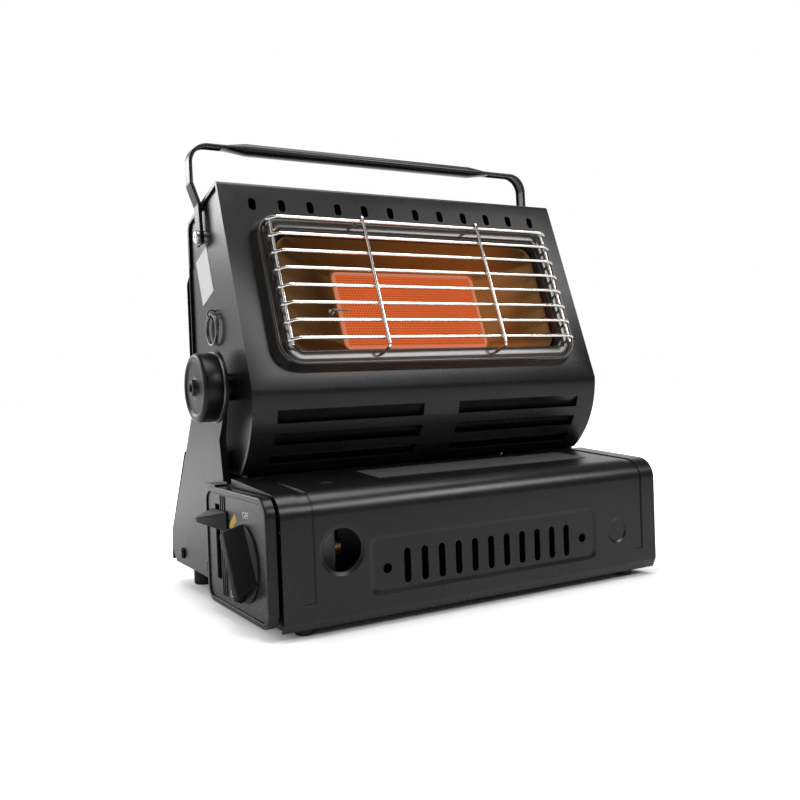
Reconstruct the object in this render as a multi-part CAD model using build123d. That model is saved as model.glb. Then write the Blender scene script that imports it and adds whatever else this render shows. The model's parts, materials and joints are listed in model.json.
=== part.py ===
from build123d import *
import math
import os

# Portable gas radiant heater: a hinged cartridge box with a tilting burner head on two side plates.
# Millimetres. X runs across the heater (left end, with the gas knob, is -X), Y runs to the rear, Z is up.
# Everything is laid out with Y = 0 on the front of the cartridge cover and Z = 0 on the floor.

# ---- Driving dimensions ----
cover_width = 284.2            # outside width of the cartridge cover
front_height = 144.8           # straight front of the burner head, from crease to top fold
head_lean = 20.16              # backward lean of the head in degrees, as it stands at rest
stand_depth = 205.4            # from the cover's front to the rear of the stand
base_height = 82.0             # height of the cover's front edge above the floor
cartridge_diameter = 68.0      # gas cartridge that the bay takes
stud_diameter = 8.0            # tilt studs, the pivots of the head
strap_width = 10.5             # carrying handle strap
grill_wire = 2.2               # diameter of the guard's wires
tube_diameter = 5.0            # gas tube

# ---- Sheet metal and fits ----
sheet = 1.0
stand_sheet = 1.2
thin_sheet = 0.8
running_fit = 0.05             # radial clearance of a pin or stud that turns
face_gap = 0.1                 # side clearance beside a turning face
free_gap = 0.5                 # clearance round a rod that passes through sheet

# ---- Stations across the heater, from the middle to one side ----
cover_half = cover_width / 2
pan_wall_x = cover_half - 1.5              # outer face of the pan's side walls
cover_cheek_x = cover_half - sheet         # inner face of the cover's end cheeks
stand_in_x = cover_half + 0.2              # inner face of the stand's side plates
stand_out_x = stand_in_x + stand_sheet
head_half = cover_half - 6.1               # edge of the head's wrapped shell
side_plate_in_x = head_half - 2.5
side_plate_out_x = side_plate_in_x + thin_sheet
cap_in_x = stand_out_x + 0.2
cap_out_x = cap_in_x + 6.3
faceplate_x = cap_out_x - 1.0              # outer face of the control plate

# ---- Stations from front to rear and up, for the base ----
cover_depth = 76.0
cover_rise = 4.3                           # the cover's top is this much higher at its rear edge
cover_edge_z = 5.0                         # lower edge of the cover's front
pan_front_y = 6.0
pan_floor_z = 6.0
rear_floor_z = 17.7                        # underside of the raised floor behind the cartridge bay
floor_step_y = 108.0
bulkhead_y = 84.0
deck_z = base_height - 3.0
deck_rear_y = 112.0
hinge_y = 66.0                             # cover hinge
hinge_z = base_height - 6.0
bay_y = pan_front_y + cartridge_diameter / 2 + 10.0
bay_z = pan_floor_z + sheet + cartridge_diameter / 2 + 2.0

# ---- Head pivot ----
pivot_y = 96.5
pivot_z = base_height + 61.4

# ---- Head profile, in the head's own upright frame with the pivot at its origin ----
front_y = -42.64
crease_z = -18.4
fold_z = crease_z + front_height
arc_centre = (19.9, 3.8)                   # lower bulge of the head
arc_radius = 66.4
arc_middle, arc_end = 226.0, 252.5         # degrees; the arc starts at the crease
rear_top = (22.7, fold_z + 4.9)
lap_point = (33.6, fold_z - 25.0)          # where the shell meets the rear panel
rear_low = (67.0, 10.3)
rear_bottom = (42.2, -43.9)

# ---- Burner window, heights as fractions of the straight front ----
rim_proud = 8.0
rim_foot_half = head_half - 16.0
rim_lip_half = rim_foot_half - 2.5
window_half = rim_foot_half - 15.0
plaque_half = window_half * 0.555
plaque_depth = 16.0                        # plaque face behind the head's front
plaque_thick = 13.0
box_depth = 42.0                           # burner box, front to rear

# ---- Handle ----
strap_thick = 2.4                          # depth of the strap's channel
strap_sheet = 1.1
strap_in_x = head_half + 0.4
strap_out_x = strap_in_x + strap_thick
handle_pivot = (-2.45, fold_z - 19.6)      # in the head's frame
handle_spread = 3.4                        # outward joggle of each leg
handle_rise = 63.5                         # grip centre above the handle's screws
handle_back = 8.0                          # grip centre behind the handle's screws
handle_pin = 6.0

# ---- Controls on the left end ----
gas_knob_y = 39.0
gas_knob_z = 40.0
gas_knob_radius = 23.0
gas_knob_turn = 31.0                       # degrees from upright
knob_foot_width = 22.0
knob_crest_width = 6.5
knob_bar_length = 43.0
knob_back_x = faceplate_x + 0.2
knob_bar_x = knob_back_x + 1.4             # foot of the knob's bar
knob_out_x = faceplate_x + 10.5            # outer face of the knob's bar
spindle_diameter = 6.0
lever_slot_y = 84.0
lever_travel = 30.0

# The finished heater is moved so that its origin lies under the middle of its footprint.
footprint_shift = -(stand_depth + sheet) / 2


# ---- Helpers ----
def arc_point(angle, radius=arc_radius):
    """Point of the head's lower arc at an angle in degrees."""
    turn = math.radians(angle)
    return (arc_centre[0] + radius * math.cos(turn), arc_centre[1] + radius * math.sin(turn))


def on_front(fraction):
    """Height in the head's frame of a fraction of the straight front."""
    return crease_z + fraction * front_height


def sheet_section(line, thickness, outside=False):
    """Section of a bent sheet, thickened to the inside of its bends, where its area is smaller, or outside."""
    sections = [make_face(offset(line, amount=thickness, side=side)) for side in (Side.LEFT, Side.RIGHT)]
    sections.sort(key=lambda section: section.area, reverse=outside)
    return sections[0]


def sheet_strip(corners, bends, thickness, half_width, outside=False):
    """Bent sheet with its outline in the YZ plane, centred on X = 0."""
    section = sheet_section(FilletPolyline(*corners, radius=bends), thickness, outside)
    return extrude(Plane.YZ * section, amount=half_width, both=True)


def plate(outline, x_start, x_end):
    """Flat plate: a YZ outline between two X stations."""
    return Pos(x_start, 0, 0) * extrude(Plane.YZ * outline, amount=x_end - x_start)


def polygon(*corners):
    """Filled outline through corners given as (Y, Z)."""
    return make_face(Polyline(*corners, close=True))


def rod_x(radius, x_start, x_end, y, z):
    """Round rod along X."""
    return Pos((x_start + x_end) / 2, y, z) * Rot(Y=90) * Cylinder(radius, abs(x_end - x_start))


def rod_y(radius, y_start, y_end, x, z):
    """Round rod along Y."""
    return Pos(x, (y_start + y_end) / 2, z) * Rot(X=90) * Cylinder(radius, abs(y_end - y_start))


def block(x_start, x_end, y_start, y_end, z_start, z_end):
    """Box between stations."""
    centre = Pos((x_start + x_end) / 2, (y_start + y_end) / 2, (z_start + z_end) / 2)
    return centre * Box(abs(x_end - x_start), abs(y_end - y_start), abs(z_end - z_start))


def front_slab(half_width, z_low, z_high, corner, back, thick, x_centre=0.0):
    """Rounded plate parallel to the head's front; back is its rear face, measured behind the front."""
    sketch = RectangleRounded(2 * half_width, z_high - z_low, corner)
    plane = Plane(origin=(x_centre, front_y + back, (z_low + z_high) / 2), x_dir=(1, 0, 0), z_dir=(0, -1, 0))
    return extrude(plane * sketch, amount=thick)


def tube_along(path, diameter):
    """Round bar along a path of straight runs and tangent arcs."""
    start = Plane(origin=path @ 0, z_dir=path % 0)
    return sweep(start * Circle(diameter / 2), path=path)


def mirror_x(solid):
    return mirror(solid, about=Plane.YZ)


def lean(solid):
    """From the head's own upright frame to its leaning place on the stand."""
    return Pos(0, pivot_y, pivot_z) * Rot(X=-head_lean) * solid


def leaning_point(local_y, local_z):
    """World (Y, Z) of a point of the leaning head."""
    turn = math.radians(head_lean)
    world_y = pivot_y + math.cos(turn) * local_y + math.sin(turn) * local_z
    world_z = pivot_z - math.sin(turn) * local_y + math.cos(turn) * local_z
    return (world_y, world_z)


# ---- Base ----
def base_pan():
    """Floor of the cartridge bay with its side walls, and the raised rear floor between the stand plates."""
    bay_corners = [(pan_front_y, 12), (pan_front_y, pan_floor_z), (floor_step_y, pan_floor_z),
                   (floor_step_y, rear_floor_z + sheet)]
    bay = sheet_strip(bay_corners, 1.8, sheet, pan_wall_x)
    rear = block(-stand_in_x, stand_in_x, floor_step_y - sheet, stand_depth - 12, rear_floor_z, rear_floor_z + sheet)
    wall_outline = polygon((pan_front_y + 3, pan_floor_z), (pan_front_y, pan_floor_z + 3), (pan_front_y, 58),
                           (22, deck_z), (hinge_y + 4, deck_z), (hinge_y + 10, hinge_z - 6),
                           (80, hinge_z - 10), (80, pan_floor_z))
    wall = plate(wall_outline, pan_wall_x - sheet, pan_wall_x)
    flange = block(stand_in_x - sheet, stand_in_x, floor_step_y + 6, stand_depth - 14, rear_floor_z, 32)
    right = wall + flange - rod_x(2.5 + face_gap / 2, pan_wall_x - 3, pan_wall_x + 1, hinge_y, hinge_z)
    left = mirror_x(right) - rod_x(spindle_diameter / 2 + 2, -pan_wall_x - 1, -pan_wall_x + 3, gas_knob_y, gas_knob_z)
    return bay + rear + right + left


def compartment_bulkhead():
    """Rear wall of the cartridge bay, turned back into a deck below the head."""
    corners = [(bulkhead_y, pan_floor_z + sheet), (bulkhead_y, deck_z), (deck_rear_y, deck_z),
               (deck_rear_y, deck_z - 9)]
    wall = sheet_strip(corners, 2.0, sheet, stand_in_x)
    below_floor = block(-cover_width, cover_width, 0, bulkhead_y - 1, 0, pan_floor_z)
    sides = block(pan_wall_x - sheet, cover_width, 0, bulkhead_y + 6, 0, deck_z - 3)
    bore = rod_y(tube_diameter / 2 + free_gap, bulkhead_y - 2, bulkhead_y + 3, -lower_tube_x, lower_tube_z)
    riser = Pos(-lower_tube_x, pivot_y, deck_z) * Cylinder(tube_diameter / 2 + free_gap, 8)
    return wall - below_floor - sides - mirror_x(sides) - bore - riser


def stand_outline():
    """Side plate of the stand: a tall triangle with a round head about the pivot."""
    head_round = Pos(pivot_y, pivot_z) * Circle(24)
    body = polygon((87, deck_z + 5), (91.5, 110), (pivot_y - 23, pivot_z - 6), (pivot_y + 16, pivot_z + 18),
                   (147.5, 122.8), (stand_depth - 2, 38.3), (stand_depth, 24.6), (stand_depth - 9, 16.5),
                   (130, 16.5), (floor_step_y + 4, 16.5), (floor_step_y + 4, pan_floor_z + 1),
                   (74, pan_floor_z + 1), (74, deck_z - 2), (82, deck_z + 5))
    return body + head_round


def stand_side(arm):
    """Right-hand stand plate with its front flange and foot lip; the arm carries the control housing,
    with a tab turned out over the housing's rear top."""
    outline = stand_outline()
    if arm:
        outline = outline + polygon((8, 10), (75, 10), (75, 70), (60, 70), (8, 60))
    panel = plate(outline, stand_in_x, stand_out_x)
    flange_outline = polygon((87, deck_z + 6), (91.5, 110), (86.8, pivot_z - 16), (88, pivot_z - 16),
                             (92.7, 110), (88.2, deck_z + 6))
    flange = plate(flange_outline, stand_in_x - 3.3, stand_in_x)
    lip = block(stand_in_x - 24, stand_in_x, 130, stand_depth - 9.5, 16.5, rear_floor_z)
    panel = panel + flange + lip
    panel = panel - rod_x(stud_diameter / 2 + running_fit, stand_in_x - 1, stand_out_x + 1, pivot_y, pivot_z)
    if arm:
        tab_low_z = cap_high_z + face_gap / 2
        tab = block(stand_in_x, cap_out_x - 0.5, 86, cap_rear_y - 2, tab_low_z, tab_low_z + stand_sheet)
        spindle_hole = rod_x(spindle_diameter / 2 + 1, stand_in_x - 1, stand_out_x + 1, gas_knob_y, gas_knob_z)
        lever_slot = block(stand_in_x - 1, stand_out_x + 1, lever_slot_y - 5, lever_slot_y + 5, 23, 71)
        panel = panel + tab - spindle_hole - lever_slot
    return panel


def stand_rear_panel():
    """Sheet across the rear edges of the two stand plates."""
    top = (165.6, 98.4)
    knee = (stand_depth - 2, 38.3)
    heel = (stand_depth, 24.6)
    panel = sheet_strip([top, knee, heel, (stand_depth, 17)], [8, 3], sheet, stand_out_x, outside=True)
    return Pos(0, 0.2, 0) * panel


def cover_pivot_pins():
    """Two headed pins riveted through the pan's walls, on which the cover's cheeks turn."""
    head = rod_x(4.5, pan_wall_x - sheet - 1.5, pan_wall_x - sheet, hinge_y, hinge_z)
    shank = rod_x(2.5 + face_gap / 2, pan_wall_x - sheet, pan_wall_x, hinge_y, hinge_z)
    journal = rod_x(2.5, pan_wall_x, cover_half, hinge_y, hinge_z)
    pin = head + shank + journal
    return [pin, mirror_x(pin)]


def feet(radius, x, y, height):
    """A pair of round feet."""
    foot = Pos(x, y, height / 2) * Cylinder(radius, height)
    foot = chamfer(foot.edges().filter_by(GeomType.CIRCLE).group_by(Axis.Z)[0], 0.8)
    return [foot, mirror_x(foot)]


def cartridge_cradle():
    """Two saddles on a strip that hold the cartridge off the floor."""
    floor_top = pan_floor_z + sheet
    strip = block(-45, 65, bay_y - 6, bay_y + 6, floor_top, floor_top + sheet)
    cartridge = rod_x(cartridge_diameter / 2 + 0.3, -cover_half, cover_half, bay_y, bay_z)
    cradle = strip
    for x in (-45, 63):
        cradle = cradle + block(x, x + 2, bay_y - 27, bay_y + 27, floor_top, floor_top + 18)
    return cradle - cartridge


def stand_screws():
    """Round-head screws that hold the stand plates to the pan's flanges."""
    screws = []
    for y in (floor_step_y + 14, stand_depth - 26):
        head = rod_x(4.0, stand_out_x, stand_out_x + 2.2, y, 25)
        head = fillet(head.edges().group_by(Axis.X)[-1], 1.5)
        screws.append(head)
        screws.append(mirror_x(head))
    return screws


# ---- Control end ----
cap_front_y, cap_rear_y = 2.0, 106.0
cap_low_z, cap_high_z = 7.0, base_height - 1.0


def cap_outline(inset):
    """Rounded outline of the control housing."""
    width = cap_rear_y - cap_front_y - 2 * inset
    height = cap_high_z - cap_low_z - 2 * inset
    centre = Pos((cap_front_y + cap_rear_y) / 2, (cap_low_z + cap_high_z) / 2)
    return centre * RectangleRounded(width, height, 11 - inset)


def control_housing():
    """Plastic end cap: a tray with a raised rim, open towards the heater."""
    shell = plate(cap_outline(0), -cap_out_x, -cap_in_x)
    shell = fillet(shell.edges().group_by(Axis.X)[0], 1.2)
    hollow = plate(cap_outline(2), -cap_in_x - 2.5, -cap_in_x)
    recess = plate(cap_outline(3.5), -cap_out_x - 1, -faceplate_x + 1.2)
    slot = block(-cap_out_x - 1, -cap_in_x + 1, lever_slot_y - 5, lever_slot_y + 5, 23, 71)
    bore = rod_x(spindle_diameter / 2 + 1, -cap_out_x, -cap_in_x, gas_knob_y, gas_knob_z)
    return shell - hollow - recess - slot - bore


def control_faceplate():
    """Plate in the housing's recess, round the gas knob, with the lever's slot at its rear."""
    sheet_face = plate(cap_outline(3.7), -faceplate_x, -faceplate_x + 1.2)
    slot = block(-cap_out_x, -cap_in_x, lever_slot_y - 4.5, lever_slot_y + 4.5, 23.5, 70.5)
    bore = rod_x(spindle_diameter / 2 + free_gap, -cap_out_x, -cap_in_x, gas_knob_y, gas_knob_z)
    return sheet_face - slot - bore


regulator_rear_y = 66.0
regulator_x = pan_wall_x - sheet
regulator_length = 44.0
inlet_x = regulator_x - regulator_length


def regulator_body():
    """Die-cast valve and pressure regulator on the pan's left wall."""
    casting = block(-regulator_x, -inlet_x, 30, regulator_rear_y, 24, 60)
    casting = fillet(casting.edges().filter_by(Axis.X), 4)
    dome = Pos(-(regulator_x + inlet_x) / 2, 48, 60) * Cylinder(14, 12, align=(Align.CENTER, Align.CENTER, Align.MIN))
    bore = rod_x(spindle_diameter / 2 + running_fit, -regulator_x - 1, -regulator_x + 11, gas_knob_y, gas_knob_z)
    return casting + dome - bore


def cartridge_inlet():
    """Turned spigot that the cartridge's valve pushes on to."""
    spigot = rod_x(11, -inlet_x, -inlet_x + 9, bay_y, bay_z)
    bore = rod_x(3, -inlet_x - 1, -inlet_x + 12, bay_y, bay_z)
    groove = rod_x(6, -inlet_x + 7.5, -inlet_x + 12, bay_y, bay_z)
    return spigot - bore - groove


def inlet_seal():
    """Rubber ring in the spigot's end."""
    ring = rod_x(6, -inlet_x + 7.5, -inlet_x + 9.5, bay_y, bay_z)
    return ring - rod_x(3, -inlet_x + 7, -inlet_x + 10, bay_y, bay_z)


def collar_fork():
    """Slotted plate round the spigot that the lock lever draws along to hold the cartridge."""
    outline = Pos(bay_y, bay_z) * RectangleRounded(30, 40, 5)
    fork = plate(outline, -inlet_x + 1, -inlet_x + 3)
    notch = Pos(-inlet_x + 2, bay_y, bay_z) * Rot(Y=90) * Cylinder(11.8, 6)
    way_out = block(-inlet_x, -inlet_x + 4, bay_y - 11.8, bay_y + 11.8, bay_z, bay_z + 40)
    return fork - notch - way_out


def piezo_igniter():
    """Spring striker that makes the spark."""
    barrel = rod_x(6.5, -regulator_x, -regulator_x + 30, 19, 26)
    terminal = rod_x(2.0, -regulator_x + 30, -regulator_x + 37, 19, 26)
    return barrel + terminal


def gas_knob():
    """Round skirt with a bar grip that narrows outwards, turned part of the way on."""
    skirt = rod_x(gas_knob_radius, -knob_bar_x, -knob_back_x, 0, 0)
    skirt = chamfer(skirt.edges().group_by(Axis.X)[0], 0.5)
    foot = Plane(origin=(-knob_bar_x, 0, 0), x_dir=(0, -1, 0), z_dir=(-1, 0, 0))
    crest = Plane(origin=(-knob_out_x, 0, 0), x_dir=(0, -1, 0), z_dir=(-1, 0, 0))
    bar = loft([foot * RectangleRounded(knob_foot_width, knob_bar_length - 4, 2.0),
                crest * RectangleRounded(knob_crest_width, knob_bar_length - 1.5, 1.6)])
    socket = rod_x(spindle_diameter / 2, -knob_bar_x - 3, -knob_back_x, 0, 0)
    return Pos(0, gas_knob_y, gas_knob_z) * Rot(X=-gas_knob_turn) * (skirt + bar - socket)


def valve_spindle():
    return rod_x(spindle_diameter / 2, -knob_bar_x - 3, -regulator_x + 10, gas_knob_y, gas_knob_z)


def lock_lever():
    """Pointed thumb tab on a stem through the slot; it locks the cartridge at the top of its travel."""
    tab_z = 61.5
    tab_x = cap_out_x + 0.3
    foot = Plane(origin=(-tab_x, 77.5, tab_z), x_dir=(0, -1, 0), z_dir=(-1, 0, 0)) * RectangleRounded(25, 12, 1.5)
    tip = Plane(origin=(-tab_x - 11.5, 89, tab_z), x_dir=(0, -1, 0), z_dir=(-1, 0, 0)) * RectangleRounded(4.5, 2.8, 0.8)
    stem = block(-tab_x - 1, -pan_wall_x, lever_slot_y - 3, lever_slot_y + 3, tab_z - 3.5, tab_z + 3.5)
    return loft([foot, tip]) + stem


# ---- Cartridge cover ----
def cover_outline():
    """Outer outline of the cover's section, from its lower front edge over the top to the rear edge."""
    return FilletPolyline((3.4, cover_edge_z), (0, 11), (0, base_height - 0.6),
                          (cover_depth, base_height + cover_rise), radius=[6, 14])


def top_z(y):
    """Height of the cover's top face."""
    return base_height - 0.6 + (cover_rise + 0.6) * y / cover_depth


emboss_depth = 0.8                         # pressed features of the cover


def pressed_recess(outer, inner, place):
    """Shallow pressing: what it cuts from the outside of a sheet, and what it pushes out behind."""
    plane = Plane(place)
    floor = Plane(place * Pos(0, 0, emboss_depth))
    sunk = loft([plane * outer, floor * inner])
    back = loft([Plane(place * Pos(0, 0, sheet)) * outer, Plane(place * Pos(0, 0, sheet + emboss_depth)) * inner])
    return sunk, back


def end_channel():
    """Groove pressed over the cover's front and top near one end, down to a little above its lower edge."""
    half_width = 4.0
    shoulder = 0.6
    centre = Pos(cover_half - 16.3, 0, 0)
    above = block(-cover_width, cover_width, -1, cover_depth - 4, 20, base_height * 2)

    def strip(depth, half):
        return centre * extrude(Plane.YZ * sheet_section(cover_outline(), depth), amount=half, both=True)

    groove = strip(emboss_depth * 0.4, half_width) + strip(emboss_depth * 0.8, half_width - shoulder)
    ridge = strip(sheet + emboss_depth * 0.8, half_width + shoulder)
    return groove & above, ridge & above


panel_half = cover_half - 55.0
vent_pitch = panel_half / 7.1
vent_count = 11


def cartridge_cover():
    """Lid of the cartridge bay: front, top and end cheeks of one pressed sheet."""
    skin = extrude(Plane.YZ * sheet_section(cover_outline(), sheet), amount=cover_half, both=True)
    end_face = make_face(cover_outline().edges() + Polyline(
        (cover_depth, base_height + cover_rise), (cover_depth, 60), (cover_depth - 8, cover_edge_z + 4),
        (3.4, cover_edge_z)).edges())
    right_cheek = plate(end_face, cover_cheek_x, cover_half)
    left_cheek = mirror_x(right_cheek) - block(-cover_width, 0, -1, cover_depth + 1, 0, base_height - 18)
    front = Location((0, 0, 0), (-90, 0, 0))
    panel = pressed_recess(RectangleRounded(2 * panel_half, 35, 6), RectangleRounded(2 * panel_half - 5, 30, 4),
                           Pos(0, 0, 35.9) * front)
    dimple = pressed_recess(Circle(8.5), Circle(7), Pos(cover_half - 36.1, 0, 35) * front)
    bezel = pressed_recess(Circle(14.8), Circle(12.9), Pos(-cover_half + 37.6, 0, 48) * front)
    slope = math.degrees(math.atan((cover_rise + 0.6) / cover_depth))
    top_face = Pos(-cover_half + 44.1, 29, top_z(29)) * Location((0, 0, 0), (180 + slope, 0, 0))
    top_dimple = pressed_recess(Circle(7), Circle(5.5), top_face)
    channel = end_channel()
    pressings = [panel, dimple, bezel, top_dimple, channel, [mirror_x(solid) for solid in channel]]
    skin = skin + [back for _, back in pressings] - [sunk for sunk, _ in pressings]
    cover = skin + right_cheek + left_cheek
    vents = [block(vent_x(i) - 2.35, vent_x(i) + 2.35, -2, 4, 25.5, 41.5) for i in range(vent_count)]
    vents += [rod_y(2.35, -2, 4, vent_x(i), z) for i in range(vent_count) for z in (25.5, 41.5)]
    window = rod_y(12.5, -2, 4, -cover_half + 37.6, 48)
    rivet_holes = [rod_y(3, -2, 4, x, 33.5) for x in (-panel_half + 12, panel_half - 12)]
    journal = rod_x(2.5 + running_fit, -cover_half - 1, cover_half + 1, hinge_y, hinge_z)
    return cover - vents - window - rivet_holes - journal


def vent_x(index):
    return (index - (vent_count - 1) / 2) * vent_pitch


def cover_label():
    """Blank data plate on the cover's top."""
    slope = math.degrees(math.atan((cover_rise + 0.6) / cover_depth))
    middle_y = 46.0
    label = Pos(22, middle_y, top_z(middle_y) + 0.02) * Rot(X=slope) * Box(
        cover_width * 0.595, 31, 0.3, align=(Align.CENTER, Align.CENTER, Align.MIN))
    return label


# ---- Burner head, built upright about its pivot ----
def shell_path():
    """Outline of the wrapped shell: rear lap, top, straight front and lower arc."""
    crease = (front_y, crease_z)
    straight = FilletPolyline(lap_point, rear_top, (front_y, fold_z), crease, radius=[8, 3])
    arc = ThreePointArc(crease, arc_point(arc_middle), arc_point(arc_end))
    return Wire(straight.edges() + arc.edges())


def head_outline():
    """Closed outline of the head's side."""
    back = Polyline(arc_point(arc_end), rear_bottom, rear_low, lap_point)
    return make_face(shell_path().edges() + back.edges())


louvre_low_angles = (218.2, 231.5, 244.8)
louvre_height = 8.7
louvre_depth = 4.0


def louvre_tools():
    """Cut-outs and pressed vanes of the louvres, in two columns on the lower arc."""
    cuts = []
    vanes = []
    inner_x, outer_x = 13.5, head_half - 16.0
    for low_angle in louvre_low_angles:
        high = arc_point(low_angle - math.degrees(louvre_height / arc_radius))
        low = arc_point(low_angle)
        low_out = arc_point(low_angle, arc_radius + 2)
        high_out = arc_point(low_angle - math.degrees(louvre_height / arc_radius), arc_radius + 2)
        low_in = arc_point(low_angle, arc_radius - louvre_depth)
        low_deep = arc_point(low_angle, arc_radius - louvre_depth - sheet)
        high_in = arc_point(low_angle - math.degrees(louvre_height / arc_radius), arc_radius - sheet)
        cut = plate(polygon(high_out, low_out, low_deep, high_in), inner_x, outer_x)
        vane = plate(polygon(high, low_in, low_deep, high_in), inner_x, outer_x)
        end = polygon(high, low, low_deep, high_in)
        vane = vane + plate(end, inner_x - 0.5, inner_x + 0.5) + plate(end, outer_x - 0.5, outer_x + 0.5)
        cuts += [cut, mirror_x(cut)]
        vanes += [vane, mirror_x(vane)]
    return cuts, vanes


def tube_way():
    """Sector swept by the fixed gas tube as the head tilts, cut from the bottom of the head."""
    far = 90
    first, last = math.radians(264.5), math.radians(316)
    wedge = polygon((0, 0), (far * math.cos(first), far * math.sin(first)),
                    (far * math.cos(last), far * math.sin(last)))
    return plate(wedge, -lower_tube_x - 5, -lower_tube_x + 5)


def head_shell():
    """Wrapped front, top and lower arc of the head, with curled-in end rims."""
    body = extrude(Plane.YZ * sheet_section(shell_path(), sheet), amount=head_half, both=True)
    rim = plate(sheet_section(shell_path(), 2.5), head_half - sheet, head_half)
    shell = body + rim + mirror_x(rim)
    opening = front_slab(window_half + 1.6, on_front(0.153), on_front(0.737), 14, 3, 6)
    cuts, vanes = louvre_tools()
    slot_z = on_front(0.889)
    slot_pitch = head_half * 0.15232
    slots = []
    for index in range(12):
        slots.append(front_slab(2.5, slot_z - 4.5, slot_z + 4.5, 2.4, 3, 6, x_centre=(index - 5.5) * slot_pitch))
    return shell - opening - slots - cuts + vanes - tube_way()


def side_plate():
    """Right end of the head, set in behind the shell's rim."""
    inner = offset(head_outline(), amount=-sheet, kind=Kind.INTERSECTION)
    panel = plate(inner, side_plate_in_x, side_plate_out_x)
    panel = panel - rod_x(stud_diameter / 2 + running_fit, side_plate_in_x - 1, side_plate_out_x + 1, 0, 0)
    return panel - rod_x(handle_pin / 2, side_plate_in_x - 1, side_plate_out_x + 1, *handle_pivot)


def rear_panel():
    """Back and sloping bottom of the head, with heat slots behind the shield."""
    path = Polyline(arc_point(arc_end), rear_bottom, rear_low, lap_point)
    panel = extrude(Plane.YZ * sheet_section(path, sheet), amount=head_half, both=True)
    slots = []
    for index in range(9):
        low, high = 0.45, 0.75
        slot_line = polygon(between(rear_low, lap_point, low, -3), between(rear_low, lap_point, high, -3),
                            between(rear_low, lap_point, high, 3), between(rear_low, lap_point, low, 3))
        x = (index - 4) * head_half * 0.17
        slots.append(plate(slot_line, x - 3, x + 3))
    return panel - head_shell_cached - slots - tube_way()


def between(start, end, fraction, outward):
    """Point part of the way from start to end, moved to the right-hand side of that way."""
    run_y, run_z = end[0] - start[0], end[1] - start[1]
    length = math.hypot(run_y, run_z)
    return (start[0] + run_y * fraction + outward * run_z / length,
            start[1] + run_z * fraction - outward * run_y / length)


def rear_shield():
    """Heat shield standing off the back of the head."""
    stand_off = 8.0
    foot = thin_sheet + 0.15
    corners = [between(rear_low, lap_point, 0.2, foot), between(rear_low, lap_point, 0.26, stand_off),
               between(rear_low, lap_point, 0.9, stand_off), between(rear_low, lap_point, 0.96, foot)]
    return sheet_strip(corners, 3.0, thin_sheet, head_half - 0.5)


def rim_frame():
    """Pressed frame round the burner window: sloping skirt, flat lip and an inner wall."""
    low, high = on_front(0.069), on_front(0.8264)
    plane = Plane(origin=(0, front_y, (low + high) / 2), x_dir=(1, 0, 0), z_dir=(0, -1, 0))
    slope = math.degrees(math.atan(2.5 / rim_proud))
    outer = extrude(plane * RectangleRounded(2 * rim_foot_half, high - low, 18), amount=rim_proud, taper=slope)
    inner = extrude(plane * RectangleRounded(2 * rim_foot_half - 2, high - low - 2, 17),
                    amount=rim_proud - sheet, taper=slope)
    hole = front_slab(window_half, on_front(0.16), on_front(0.73), 13, 2, rim_proud + 4)
    wall_outer = front_slab(window_half + sheet, on_front(0.16) - sheet, on_front(0.73) + sheet, 14, 1.5,
                            rim_proud + 0.5)
    return outer - inner + wall_outer - hole


plaque_low = on_front(0.2195)
plaque_high = on_front(0.62)


def reflector():
    """Tapered dish from the window's wall back to the plaque, with a mounting flange behind."""
    front_low, front_high = on_front(0.16) + 0.2, on_front(0.73) - 0.2
    front_half_x = window_half - 0.2

    def dish(shrink):
        mouth = Plane(origin=(0, front_y - 1.5, (front_low + front_high) / 2), x_dir=(1, 0, 0), z_dir=(0, -1, 0))
        seat = Plane(origin=(0, front_y + plaque_depth + 0.4, (plaque_low + plaque_high) / 2), x_dir=(1, 0, 0),
                     z_dir=(0, -1, 0))
        mouth_sketch = mouth * RectangleRounded(2 * (front_half_x - shrink), front_high - front_low - 2 * shrink,
                                                12.5 - shrink)
        seat_sketch = seat * RectangleRounded(2 * (plaque_half + 2 - shrink),
                                              plaque_high - plaque_low + 4 - 2 * shrink, 7 - shrink)
        return loft([seat_sketch, mouth_sketch])

    flange = front_slab(plaque_half + 10, plaque_low - 10, plaque_high + 10, 8, plaque_depth + 1.2, sheet)
    flange_hole = front_slab(plaque_half + 0.4, plaque_low - 0.4, plaque_high + 0.4, 6, plaque_depth + 3, 6)
    return dish(0) + flange - dish(thin_sheet) - flange_hole - probe_holes()


electrode_place = (-plaque_half - 6.5, plaque_low + 0.46 * (plaque_high - plaque_low))
sensor_place = (12.0, plaque_low - 6.5)


def probe_holes():
    """Clearance for the spark electrode and the flame sensor beside the tile."""
    electrode_hole = rod_y(2.5, front_y - 2, front_y + 60, *electrode_place)
    sensor_hole = rod_y(2.0, front_y - 2, front_y + 60, *sensor_place)
    return [electrode_hole, sensor_hole]


def ceramic_plaque():
    """Honeycomb burner tile."""
    return front_slab(plaque_half, plaque_low, plaque_high, 5.5, plaque_depth + plaque_thick, plaque_thick)


def plaque_gasket():
    """Fibre frame between the tile and the burner box."""
    back = plaque_depth + plaque_thick
    ring = front_slab(plaque_half + 2.5, plaque_low - 2.5, plaque_high + 2.5, 7, back, plaque_thick - 1.4)
    return ring - front_slab(plaque_half, plaque_low, plaque_high, 5.5, back + 1, plaque_thick + 2) - probe_holes()


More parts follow.
